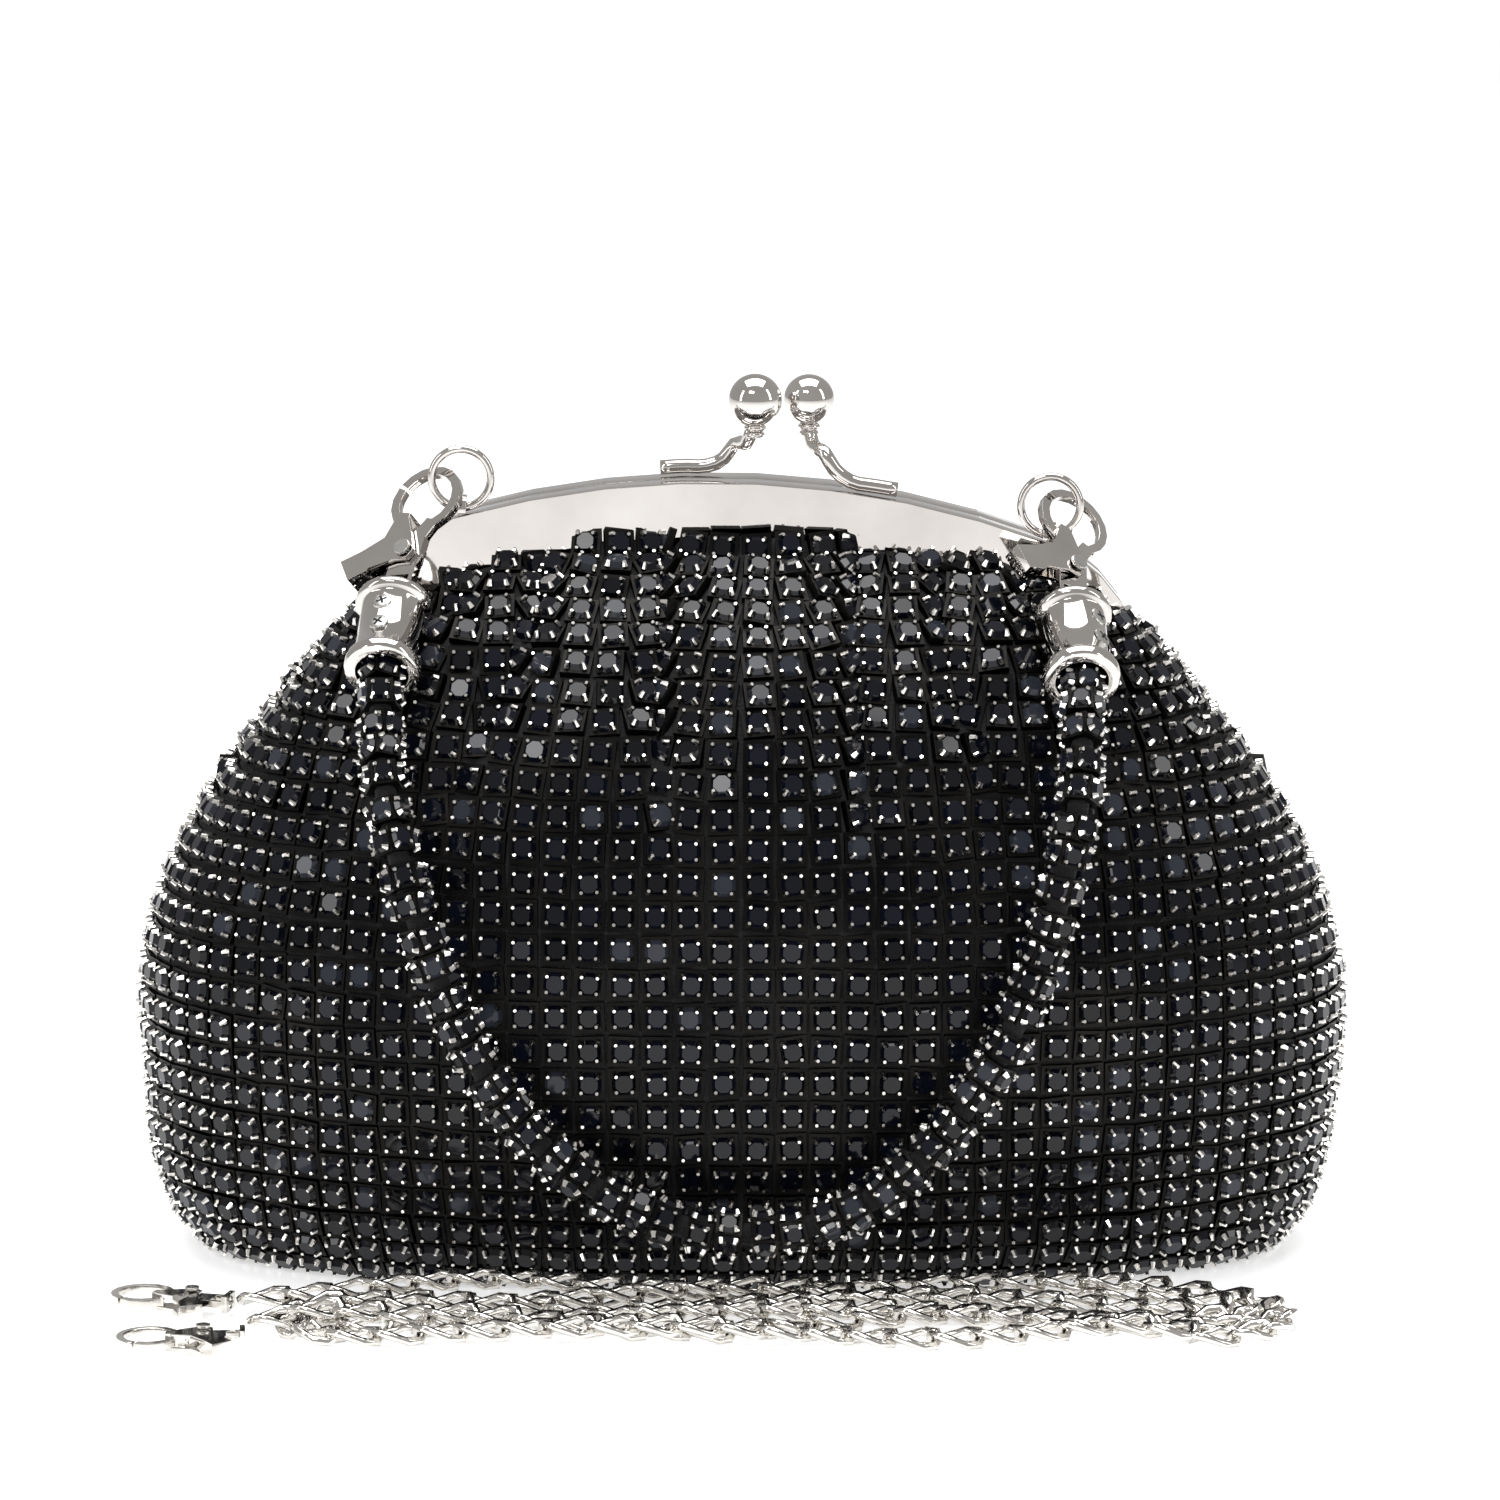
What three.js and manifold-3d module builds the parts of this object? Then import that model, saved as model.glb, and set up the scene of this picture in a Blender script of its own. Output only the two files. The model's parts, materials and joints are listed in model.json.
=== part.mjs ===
// Evening bag: a soft pouch of crystal mesh on a hinged kiss-lock frame, with a clip-on rope
// handle and a curb-chain strap lying in front. Millimetres, +Z up, front towards -Y.
import * as THREE from 'three';
import { mergeVertices } from 'three/addons/utils/BufferGeometryUtils.js';
import Module from 'manifold-3d';

const wasm = await Module();
wasm.setup();

// ---- driving dimensions ----
const gap = 0.3; // between pieces that touch

// Pouch: height, half width and half depth of its outside, from the floor to the frame.
const pouchOutline = [
  [0, 90, 34], [3, 94.5, 39.5], [8, 98.5, 44], [15, 101, 47.5], [25, 102.5, 50.5],
  [45, 103.5, 52.5], [55, 102, 52.5], [65, 98.8, 51.5], [75, 93.8, 49], [84, 88, 45],
  [92, 82, 40.5], [100, 75.5, 34], [107, 69, 27.5], [113, 62, 20.5], [117, 55, 14.5],
  [120, 45, 10], [125, 30, 8.6],
];
const squareness = 2.3; // exponent of the pouch's oval
const meshWall = 3; // crystals, cups and net
const tubTop = 88; // where the gathered upper fabric starts
const liningWall = 1;
const boardThickness = 2;
const pocket = { width: 84, height: 45, thickness: 1.2, fromBack: 38.5, bottom: 20, corner: 8 };

// Frame: two channel halves on a common pivot line.
const frameCentreX = 1;
const pivotZ = 98;
const frameRoll = 2.7; // degrees, right side lower
const frameHalfWidth = 66.5;
const frameRise = 33.5;
const cornerRadius = 24;
const crownRadius = 160;
const frameDepth = 7.5; // of one half
const splitGap = 0.25; // from the split line to each half
const sheet = 1.1; // metal of the channel
const outerLip = 9;
const innerLip = 5;
const earRadius = 4.2;
const earRelief = 4.8;
const earJoggle = 1.5;
const rivetRadius = 1.1;
const rivetHeadRadius = 2.4;
const meshCordRadius = 1.2;

// Clasp and rings on the frame.
const claspOffset = 3.7;
const claspHeight = 47; // ball centres above the pivot line
const ballRadius = { front: 4.3, back: 4.5 };
const ballSpacing = 9.1;
const ballLean = 2.5;
const armRadius = 1.25;
const ringX = 49.5;
const ringY = -5.2;
const ringRadius = 4.95;
const ringWire = 0.7;
const staple = { length: 2.2, hole: 1.15, wall: 1.1 };

// Hooks: one design for the handle and, scaled, for the strap's claws.
const hook = {
  thickness: 1.4, halfWidth: 2.7, loopX: 0.3, loopZ: 15.9, loopOuter: 6.6, loopInner: 5.05,
  pivotZ: 5, rivet: 0.85, cheek: 0.8, barZ: -2.8, barThickness: 1.2, barDepth: 3.4, barHole: 1.35,
};
const leverStart = 156; // degrees round the loop where the lever's jaw begins
const leverEnd = 238;
const bodyStart = -75;
const bodyEnd = 150;
const hookPose = {
  left: { up: [0.239, 0.628, 0.741], yaw: 35 },
  right: { up: [0.031, 0.783, 0.621], yaw: -30 },
};

// Handle: a rope of crystal mesh between two ferrules.
const ferrule = { length: 17.5, barrel: 5.2, rim: 6.4, bore: 4.35, cap: 1.4, capHole: 1.3 };
const ferrulePose = {
  left: { top: [-57.4, -19.9, 113.7], down: [-0.08, -0.82, -0.57], screws: -18 },
  right: { top: [54.8, -23.2, 112.4], down: [0.05, -0.84, -0.54], screws: 50 },
};
const postReach = 1.7; // from a ferrule's top to the middle of the hook's bar
const screw = { radius: 1.55, hole: 1.85, from: 4.6, to: 5.5, down: [5.6, 10.6] };
const ropeRadius = 4;
const ropeBore = 2.6;
const coreRadius = 2.3;
const ropeInside = 5; // how far up each ferrule the rope starts, from the ferrule's top
const ropeRoute = [
  [-58.6, -40.5, 95.6], [-57.6, -48, 87.5], [-55.2, -53.5, 77], [-51.8, -56.2, 66],
  [-47, -57.3, 53], [-38.9, -57.8, 38], [-28.3, -58, 26.6], [-14.7, -58, 18.4],
  [0.4, -58, 15.4], [16.5, -58, 18.6], [29.8, -58, 28.4], [41, -57.8, 43.5],
  [48.3, -57.3, 60.5], [52.4, -56, 75.5], [54.8, -51.5, 88.5],
];

// Strap: the curb chain lies folded in front of the pouch, a claw at each end.
const hank = { left: -75, right: 88, front: -78.5, back: -46.5, bottom: 0.2, top: 6 };
const claws = {
  claw_a: { at: [-86, -52, 2.6], turn: 75, scale: 0.8 },
  claw_b: { at: [-82, -73.5, 2.6], turn: 95, scale: 0.8 },
};

// ---- solids from three.js geometry ----
function solidOf(geometry) {
  const bare = geometry.clone();
  bare.deleteAttribute('normal');
  bare.deleteAttribute('uv');
  const merged = mergeVertices(bare, 1e-4);
  return new wasm.Manifold(new wasm.Mesh({
    numProp: 3,
    vertProperties: new Float32Array(merged.attributes.position.array),
    triVerts: new Uint32Array(merged.index.array),
  }));
}

function geometryOf(solid) {
  const mesh = solid.getMesh();
  const geometry = new THREE.BufferGeometry();
  geometry.setAttribute('position', new THREE.BufferAttribute(mesh.vertProperties, 3));
  geometry.setIndex(new THREE.BufferAttribute(mesh.triVerts, 1));
  geometry.computeVertexNormals();
  return geometry;
}

const joined = (...solids) => solids.reduce((a, b) => a.add(b));
const cut = (solid, ...tools) => tools.reduce((a, b) => a.subtract(b), solid);

function box(x0, x1, y0, y1, z0, z1) {
  const geometry = new THREE.BoxGeometry(x1 - x0, y1 - y0, z1 - z0);
  return solidOf(geometry.translate((x0 + x1) / 2, (y0 + y1) / 2, (z0 + z1) / 2));
}

// An outline in the XZ plane, extruded along Y from y0 to y1.
function plate(shape, y0, y1, curveSegments = 6) {
  const settings = { depth: y1 - y0, bevelEnabled: false, curveSegments };
  const geometry = new THREE.ExtrudeGeometry(shape, settings);
  return geometry.rotateX(Math.PI / 2).translate(0, y1, 0);
}

function outline(points) {
  return new THREE.Shape(points.map(([x, z]) => new THREE.Vector2(x, z)));
}

function disc(x, z, radius, y0, y1, sides = 12) {
  const geometry = new THREE.CylinderGeometry(radius, radius, y1 - y0, sides);
  return solidOf(geometry.translate(x, (y0 + y1) / 2, z));
}

function discAlongX(x0, x1, radius, sides = 14) {
  const geometry = new THREE.CylinderGeometry(radius, radius, x1 - x0, sides);
  return solidOf(geometry.rotateZ(Math.PI / 2).translate((x0 + x1) / 2, 0, 0));
}

// A turned piece about Z from a closed or axis-to-axis profile of [radius, z].
function turned(profile, sides = 12) {
  const points = profile.map(([r, z]) => new THREE.Vector2(r, z));
  return new THREE.LatheGeometry(points, sides).rotateX(Math.PI / 2);
}

function swept(section, points, steps) {
  const extrudePath = new THREE.CatmullRomCurve3(points, false, 'centripetal');
  return new THREE.ExtrudeGeometry(section, { steps, extrudePath, curveSegments: 4 });
}

function roundSection(radius, hole = 0) {
  const shape = new THREE.Shape().absarc(0, 0, radius, 0, 2 * Math.PI);
  if (hole > 0) shape.holes.push(new THREE.Path().absarc(0, 0, hole, 0, 2 * Math.PI, true));
  return shape;
}

const materials = {
  crystalMesh: { color: 0x101114, roughness: 0.35, metalness: 0.3 },
  satin: { color: 0x1b1b1f, roughness: 0.6, metalness: 0 },
  board: { color: 0x8a8172, roughness: 0.9, metalness: 0 },
  nickel: { color: 0xc9c6c0, roughness: 0.12, metalness: 1 },
  steel: { color: 0x9a9a9a, roughness: 0.3, metalness: 1 },
  cord: { color: 0xb9ad95, roughness: 0.9, metalness: 0 },
};

const bag = new THREE.Group();

function addTo(parent, name, shape, finish) {
  const geometry = shape.isBufferGeometry ? shape : geometryOf(shape);
  const mesh = new THREE.Mesh(geometry, new THREE.MeshStandardMaterial(materials[finish]));
  mesh.name = name;
  parent.add(mesh);
  return mesh;
}

// ---- pouch ----
function pouchSize(z) {
  const last = pouchOutline.length - 1;
  const i = Math.min(last - 1, Math.max(0, pouchOutline.findIndex(([top]) => top > z) - 1));
  const [low, high] = z >= pouchOutline[last][0] ? pouchOutline.slice(-2) : pouchOutline.slice(i, i + 2);
  const t = Math.min(1, (z - low[0]) / (high[0] - low[0]));
  return [low[1] + t * (high[1] - low[1]), low[2] + t * (high[2] - low[2])];
}

// The pouch's shape taken in by an inset, between two heights, as one closed solid.
function pouchSolid(inset, z0, z1, around = 24) {
  const heights = [z0, ...pouchOutline.map(([z]) => z).filter((z) => z > z0 + 1 && z < z1 - 1), z1];
  const positions = [];
  const index = [];
  for (const z of heights) {
    const [halfWidth, halfDepth] = pouchSize(z);
    for (let i = 0; i < around; i += 1) {
      const t = (2 * Math.PI * i) / around;
      const x = Math.sign(Math.cos(t)) * Math.abs(Math.cos(t)) ** (2 / squareness);
      const y = Math.sign(Math.sin(t)) * Math.abs(Math.sin(t)) ** (2 / squareness);
      positions.push(x * (halfWidth - inset), y * (halfDepth - inset), z);
    }
  }
  for (let row = 0; row < heights.length - 1; row += 1) {
    for (let i = 0; i < around; i += 1) {
      const a = row * around + i;
      const b = row * around + ((i + 1) % around);
      index.push(a, b, b + around, a, b + around, a + around);
    }
  }
  const top = (heights.length - 1) * around;
  for (let i = 1; i < around - 1; i += 1) {
    index.push(0, i + 1, i, top, top + i, top + i + 1);
  }
  const geometry = new THREE.BufferGeometry();
  geometry.setAttribute('position', new THREE.Float32BufferAttribute(positions, 3));
  geometry.setIndex(index);
  return solidOf(geometry);
}

const boardBottom = meshWall + gap;
const liningBottom = boardBottom + boardThickness + gap;
const liningInset = meshWall + gap;

function slipPocket() {
  const { width, height, thickness, fromBack, bottom, corner } = pocket;
  const w = width / 2;
  const shape = new THREE.Shape();
  shape.moveTo(-w, bottom + height);
  shape.lineTo(-w, bottom + corner);
  shape.absarc(-w + corner, bottom + corner, corner, Math.PI, 1.5 * Math.PI);
  shape.lineTo(w - corner, bottom);
  shape.absarc(w - corner, bottom + corner, corner, 1.5 * Math.PI, 2 * Math.PI);
  shape.lineTo(w, bottom + height);
  return plate(shape, fromBack, fromBack + thickness);
}

// ---- frame outline ----
// Points along the arch, taken in by an inset, from the left foot over the crown to the right.
function archPoints(inset, foot = 0) {
  const w = frameHalfWidth - inset;
  const cornerX = frameHalfWidth - cornerRadius;
  const crownZ = frameRise - crownRadius;
  const cornerZ = crownZ + Math.sqrt((crownRadius - cornerRadius) ** 2 - cornerX ** 2);
  const meet = Math.atan2(cornerZ - crownZ, cornerX); // where corner and crown arcs touch
  const points = [];
  const arc = (cx, cz, radius, from, to, steps) => {
    for (let i = 0; i <= steps; i += 1) {
      const a = from + ((to - from) * i) / steps;
      points.push([cx + radius * Math.cos(a), cz + radius * Math.sin(a)]);
    }
  };
  points.push([-w, foot]);
  arc(-cornerX, cornerZ, cornerRadius - inset, Math.PI, Math.PI - meet, 6);
  arc(0, crownZ, crownRadius - inset, Math.PI - meet, meet, 8);
  arc(cornerX, cornerZ, cornerRadius - inset, meet, 0, 6);
  points.push([w, foot]);
  return points.filter(([x, z], i) => i === 0 || Math.hypot(x - points[i - 1][0], z - points[i - 1][1]) > 0.01);
}

function archBand(from, to, y0, y1, foot = 0) {
  return solidOf(plate(outline([...archPoints(from, foot), ...archPoints(to, foot).reverse()]), y0, y1));
}

const archPrism = (inset, y0, y1, foot) => solidOf(plate(outline(archPoints(inset, foot)), y0, y1));

// Height of the frame's top above the pivot line at a given x.
function archTop(x) {
  const points = archPoints(0);
  const i = points.findIndex(([px], k) => k > 0 && px >= x && points[k][1] > 1);
  const [x0, z0] = points[i - 1];
  const [x1, z1] = points[i];
  return z0 + ((z1 - z0) * (x - x0)) / (x1 - x0 || 1);
}

const hardware = new THREE.Group();
hardware.position.set(frameCentreX, 0, pivotZ);
hardware.rotation.y = THREE.MathUtils.degToRad(frameRoll);
bag.add(hardware);
hardware.updateMatrixWorld(true);

function inBag(solid) {
  return solid.transform(hardware.matrixWorld.elements);
}

// ---- pieces that hang on the front ----
// A piece's own axes: z along its length, -y out towards the viewer, turned by a yaw about z.
function pieceMatrix(origin, up, yaw) {
  const z = up.clone().normalize();
  const out = new THREE.Vector3(0, -1, 0.17);
  const x = new THREE.Vector3().crossVectors(z, out).normalize();
  const y = new THREE.Vector3().crossVectors(z, x);
  const matrix = new THREE.Matrix4().makeBasis(x, y, z).setPosition(origin);
  return matrix.multiply(new THREE.Matrix4().makeRotationZ(THREE.MathUtils.degToRad(-yaw)));
}

function groupAt(matrix) {
  const group = new THREE.Group();
  group.applyMatrix4(matrix);
  bag.add(group);
  group.updateMatrixWorld(true);
  return group;
}

const ferruleGroups = {};
for (const [side, pose] of Object.entries(ferrulePose)) {
  const up = new THREE.Vector3(...pose.down).negate();
  ferruleGroups[side] = groupAt(pieceMatrix(new THREE.Vector3(...pose.top), up, 0));
}

function ferruleClearance(side) {
  const keepOut = new THREE.CylinderGeometry(ferrule.rim + 0.6, ferrule.rim + 0.6, 26, 20);
  const solid = solidOf(keepOut.rotateX(Math.PI / 2).translate(0, 0, -10));
  return solid.transform(ferruleGroups[side].matrixWorld.elements);
}

function gathers() {
  const shell = cut(pouchSolid(0, tubTop + gap, 125), pouchSolid(meshWall, tubTop - 2, 126));
  const legTop = pivotZ + earRadius - gap;
  const reach = 200;
  const lipInset = outerLip + 0.6;
  const aboveArch = cut(
    box(-reach, reach, -reach, reach, legTop, 2 * reach),
    inBag(archPrism(lipInset, -reach, reach, -20)),
  );
  const aroundFrame = inBag(archBand(-2.2, lipInset, -8.5, 8.5, -6));
  const left = ferruleClearance('left');
  const right = ferruleClearance('right');
  const fabric = cut(shell, aboveArch, aroundFrame, left, right);
  return {
    front: cut(fabric, box(-reach, reach, -gap, reach, 0, reach)),
    back: cut(fabric, box(-reach, reach, -reach, gap, 0, reach)),
  };
}

addTo(bag, 'pouch_mesh', cut(pouchSolid(0, 0, tubTop), pouchSolid(meshWall, meshWall, tubTop + 1)), 'crystalMesh');
const gathered = gathers();
addTo(bag, 'front_gather', gathered.front, 'crystalMesh');
addTo(bag, 'back_gather', gathered.back, 'crystalMesh');
addTo(bag, 'base_board', pouchSolid(meshWall + 2, boardBottom, boardBottom + boardThickness), 'board');
addTo(bag, 'lining', cut(
  pouchSolid(liningInset, liningBottom, tubTop - 1),
  pouchSolid(liningInset + liningWall, liningBottom + liningWall, tubTop),
), 'satin');
addTo(bag, 'slip_pocket', slipPocket(), 'satin');

// ---- frame halves ----
// One half lies on the side s (-1 front, +1 back) of the split line.
function frameHalf(s) {
  const span = (a, b) => (s < 0 ? [-b, -a] : [a, b]);
  const outer = splitGap + frameDepth;
  const channel = joined(
    archBand(0, sheet, ...span(splitGap, outer)),
    archBand(0, outerLip, ...span(outer - sheet, outer)),
    archBand(0, innerLip, ...span(splitGap, splitGap + sheet)),
  );
  const reliefInner = frameHalfWidth - earJoggle + 0.15;
  let half = s < 0
    ? cut(channel, discAlongX(-reliefInner, reliefInner, earRelief))
    : cut(channel, discAlongX(-100, 100, earRelief));
  for (const side of [-1, 1]) {
    const plateSpan = (a, b) => (side < 0 ? [-b, -a] : [a, b]);
    if (s < 0) {
      half = half.add(discAlongX(...plateSpan(frameHalfWidth - sheet, frameHalfWidth), earRadius));
    } else {
      const inner = frameHalfWidth - earJoggle - sheet;
      const ear = discAlongX(...plateSpan(inner, inner + sheet), earRadius);
      const arm = box(...plateSpan(inner, inner + sheet), splitGap, earRadius, 0, 9);
      const bridge = box(...plateSpan(inner, frameHalfWidth - 0.2), 2, outer - 0.5, 5.6, 9);
      half = joined(half, ear, arm, bridge);
    }
  }
  return cut(half, discAlongX(-100, 100, rivetRadius + gap));
}

function hingeRivet() {
  const inner = frameHalfWidth - earJoggle - sheet - gap;
  const outer = frameHalfWidth + gap;
  return turned([
    [0, inner - 0.8], [2, inner - 0.8], [2, inner], [rivetRadius, inner], [rivetRadius, outer],
    [rivetHeadRadius, outer], [rivetHeadRadius - 0.5, outer + 0.7], [0, outer + 0.9],
  ]).rotateY(Math.PI / 2);
}

function meshCord(s) {
  const route = archPoints(outerLip / 2 - 1.2, 9).filter(([, z]) => z > 8);
  const y = s * (splitGap + frameDepth / 2 + 0.2);
  return swept(roundSection(meshCordRadius), route.map(([x, z]) => new THREE.Vector3(x, y, z)), 22);
}

for (const [name, s] of [['front', -1], ['back', 1]]) {
  addTo(hardware, `${name}_frame`, frameHalf(s), 'nickel');
  addTo(hardware, `${name}_mesh_cord`, meshCord(s), 'cord');
}
addTo(hardware, 'hinge_rivet_right', hingeRivet(), 'steel');
addTo(hardware, 'hinge_rivet_left', hingeRivet().rotateZ(Math.PI), 'steel');

// ---- clasp: each half carries a bent arm with a ball ----
function claspArm(s, ball) {
  const side = -s; // the front half's arm stands on the right
  const y = s * (splitGap + frameDepth / 2);
  const lift = armRadius + gap;
  const foot = (away) => {
    const x = claspOffset + side * away;
    return new THREE.Vector3(x, y, archTop(x) + lift);
  };
  const top = claspHeight - ball - gap;
  const at = (away, along, z) => new THREE.Vector3(claspOffset + side * away, along, z);
  const route = [
    foot(20), foot(16), foot(12.5), at(9.6, y, archTop(claspOffset) + lift + 1),
    at(7.4, y * 0.9, archTop(claspOffset) + lift + 4), at(5.6, -s * 0.5, 39.5),
    at(ballSpacing / 2 + 0.2, -s * (ballLean - 0.6), top),
  ];
  return swept(roundSection(armRadius), route, 14);
}

for (const [name, s] of [['front', -1], ['back', 1]]) {
  const ball = ballRadius[name];
  addTo(hardware, `${name}_clasp_arm`, claspArm(s, ball), 'nickel');
  const sphere = new THREE.SphereGeometry(ball, 14, 9).rotateX(Math.PI / 2);
  const x = claspOffset - s * (ballSpacing / 2);
  addTo(hardware, `${name}_clasp_ball`, sphere, 'nickel').position.set(x, -s * ballLean, claspHeight);
}

// ---- handle rings, each held down by a staple on the front half ----
const ringWireLift = ringWire + gap;
const ringWireZ = archTop(ringX - staple.length / 2) + ringWireLift;

function ringStaple(x) {
  const { length, hole, wall } = staple;
  const outer = hole + wall;
  const foot = ringWireZ - ringWireLift + gap;
  const shape = new THREE.Shape();
  shape.moveTo(-outer, foot);
  shape.lineTo(-outer, ringWireZ);
  shape.absarc(0, ringWireZ, outer, Math.PI, 0, true);
  shape.lineTo(outer, foot);
  shape.lineTo(hole, foot);
  shape.lineTo(hole, ringWireZ);
  shape.absarc(0, ringWireZ, hole, 0, Math.PI);
  shape.lineTo(-hole, foot);
  const settings = { depth: length, bevelEnabled: false, curveSegments: 8 };
  const geometry = new THREE.ExtrudeGeometry(shape, settings);
  return geometry.rotateX(Math.PI / 2).rotateZ(Math.PI / 2).translate(x - length / 2, ringY, 0);
}

for (const [name, side] of [['left', -1], ['right', 1]]) {
  addTo(hardware, `ring_staple_${name}`, ringStaple(side * ringX), 'nickel');
  const ring = new THREE.TorusGeometry(ringRadius, ringWire, 6, 22).rotateX(Math.PI / 2);
  addTo(hardware, `ring_${name}`, ring, 'nickel').position.set(side * ringX, ringY, ringWireZ + ringRadius);
}

// ---- lever hooks ----
function sector(from, to, halfThickness, steps = 12) {
  const points = [];
  for (const [radius, a0, a1] of [[hook.loopOuter, from, to], [hook.loopInner, to, from]]) {
    for (let i = 0; i <= steps; i += 1) {
      const a = THREE.MathUtils.degToRad(a0 + ((a1 - a0) * i) / steps);
      points.push([hook.loopX + radius * Math.cos(a), hook.loopZ + radius * Math.sin(a)]);
    }
  }
  return solidOf(plate(outline(points), -halfThickness, halfThickness));
}

const springOuter = 1.6;
const springInner = 1.1;

function hookBody() {
  const t = hook.thickness / 2;
  const w = hook.halfWidth;
  const barTop = hook.barZ + hook.barThickness / 2;
  const barBottom = hook.barZ - hook.barThickness / 2;
  const bar = cut(
    box(-w, w, -hook.barDepth / 2, hook.barDepth / 2, barBottom, barTop),
    solidOf(new THREE.CylinderGeometry(hook.barHole, hook.barHole, 4, 12)
      .rotateX(Math.PI / 2).translate(0, 0, hook.barZ)),
  );
  const windowTop = 0.7;
  const sides = joined(
    box(-w, -w + 0.8, -t, t, barTop - 0.2, windowTop),
    box(w - 0.8, w, -t, t, barTop - 0.2, windowTop),
  );
  const neck = solidOf(plate(outline([
    [-w, windowTop - 0.2], [w, windowTop - 0.2], [w, 8], [4.2, 11.2], [1.9, 11.9], [-0.2, 8.4], [-w, 8],
  ]), -t, t));
  const body = joined(bar, sides, neck, sector(bodyStart, bodyEnd, t, 12));
  return cut(body, disc(0, hook.pivotZ, springOuter + 0.25, -3, 3));
}

function hookLever() {
  const t = hook.thickness / 2;
  const inside = t + gap;
  const outside = inside + hook.cheek;
  const cheek = outline([
    [0.9, 3.1], [1.9, 5], [1.2, 6.8], [-1.4, 12.4], [-3.6, 11.4], [-4.6, 7.6], [-8.4, 5], [-7, 1.2], [-1.4, 3],
  ]);
  const cheeks = joined(
    solidOf(plate(cheek, inside, outside)),
    solidOf(plate(cheek, -outside, -inside)),
  );
  const bridge = solidOf(plate(outline([[-3.6, 10], [-1.2, 10.4], [-0.9, 12.3], [-3.2, 12.6]]), -outside, outside));
  const tab = solidOf(plate(outline([[-6, 1], [-6, 6.2], [-12, 3.2], [-9.4, -0.6]]), -outside, outside));
  const jaw = sector(leverStart, leverEnd, t, 4);
  return cut(joined(cheeks, bridge, tab, jaw), disc(0, hook.pivotZ, hook.rivet + gap, -3, 3));
}

function leverRivet() {
  const outside = hook.thickness / 2 + gap + hook.cheek + gap;
  return turned([
    [0, -outside - 0.6], [1.5, -outside - 0.6], [1.5, -outside], [hook.rivet, -outside],
    [hook.rivet, outside], [1.5, outside], [1.5, outside + 0.6], [0, outside + 0.6],
  ], 10).rotateX(Math.PI / 2).translate(0, 0, hook.pivotZ);
}

function leverSpring() {
  const ring = roundSection(springOuter, springInner);
  return plate(ring, -0.55, 0.55, 5).translate(0, 0, hook.pivotZ);
}

function addHook(group, prefix) {
  addTo(group, `${prefix}_body`, hookBody(), 'nickel');
  addTo(group, `${prefix}_lever`, hookLever(), 'nickel');
  addTo(group, `${prefix}_rivet`, leverRivet(), 'steel');
  addTo(group, `${prefix}_spring`, leverSpring(), 'steel');
}

for (const [side, pose] of Object.entries(hookPose)) {
  const up = new THREE.Vector3(...pose.up).normalize();
  const bar = new THREE.Vector3(0, 0, postReach).applyMatrix4(ferruleGroups[side].matrixWorld);
  addHook(groupAt(pieceMatrix(bar.addScaledVector(up, -hook.barZ), up, pose.yaw)), `hook_${side}`);
}

// ---- ferrules, swivel posts and screws ----
function ferruleSleeve(screwAngle) {
  const { length, barrel, rim, bore, cap, capHole } = ferrule;
  const sleeve = solidOf(turned([
    [capHole, 0], [barrel, 0], [rim - 0.3, -0.5], [rim, -1.3], [rim - 0.3, -2.1], [barrel, -2.6],
    [barrel, 3 - length], [rim - 0.3, 2.5 - length], [rim, 1.5 - length], [rim, 0.4 - length],
    [rim - 0.5, -length], [bore, -length], [bore, -cap], [capHole, -cap], [capHole, 0],
  ].reverse(), 16));
  return cut(sleeve, ...screw.down.map((down) => screwSolid(screwAngle, down, screw.hole, bore - 1, rim + 1)));
}

function screwSolid(angle, down, radius, from, to) {
  const geometry = new THREE.CylinderGeometry(radius, radius, to - from, 10);
  geometry.translate(0, -(from + to) / 2, -down);
  return solidOf(geometry.rotateZ(THREE.MathUtils.degToRad(angle)));
}

function swivelPost() {
  return turned([
    [0, -3.2], [2.2, -3.2], [2.2, -ferrule.cap - gap], [0.95, -ferrule.cap - gap], [0.95, 3],
    [1.55, 3.1], [1.45, 3.8], [0.9, 4.3], [0, 4.5],
  ]);
}

for (const [side, pose] of Object.entries(ferrulePose)) {
  const group = ferruleGroups[side];
  addTo(group, `ferrule_${side}`, ferruleSleeve(pose.screws), 'nickel');
  addTo(group, `swivel_post_${side}`, swivelPost(), 'nickel');
  screw.down.forEach((down, i) => {
    const solid = screwSolid(pose.screws, down, screw.radius, screw.from, screw.to);
    addTo(group, `ferrule_screw_${side}_${i + 1}`, solid, 'steel');
  });
}

// ---- handle rope: a tube of crystal mesh over a cord core ----
function ropePoints() {
  const end = (side, down) => new THREE.Vector3(0, 0, -down).applyMatrix4(ferruleGroups[side].matrixWorld);
  return [
    end('left', ropeInside), end('left', (ropeInside + ferrule.length) / 2), end('left', ferrule.length),
    ...ropeRoute.map((p) => new THREE.Vector3(...p)),
    end('right', ferrule.length), end('right', (ropeInside + ferrule.length) / 2), end('right', ropeInside),
  ];
}

addTo(bag, 'handle_rope', swept(roundSection(ropeRadius, ropeBore), ropePoints(), 36), 'crystalMesh');
addTo(bag, 'handle_core', swept(roundSection(coreRadius), ropePoints(), 36), 'cord');

// ---- chain strap ----
function hankSolid() {
  const { left, right, front, back, bottom, top } = hank;
  const r = (back - front) / 2;
  const y = (back + front) / 2;
  const shape = new THREE.Shape();
  shape.absarc(left + r, y, r, Math.PI / 2, 1.5 * Math.PI);
  shape.absarc(right - r, y, r, -Math.PI / 2, Math.PI / 2);
  const settings = { depth: top - bottom, bevelEnabled: false, curveSegments: 10 };
  return new THREE.ExtrudeGeometry(shape, settings).translate(0, 0, bottom);
}

addTo(bag, 'chain_hank', hankSolid(), 'nickel');

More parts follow.
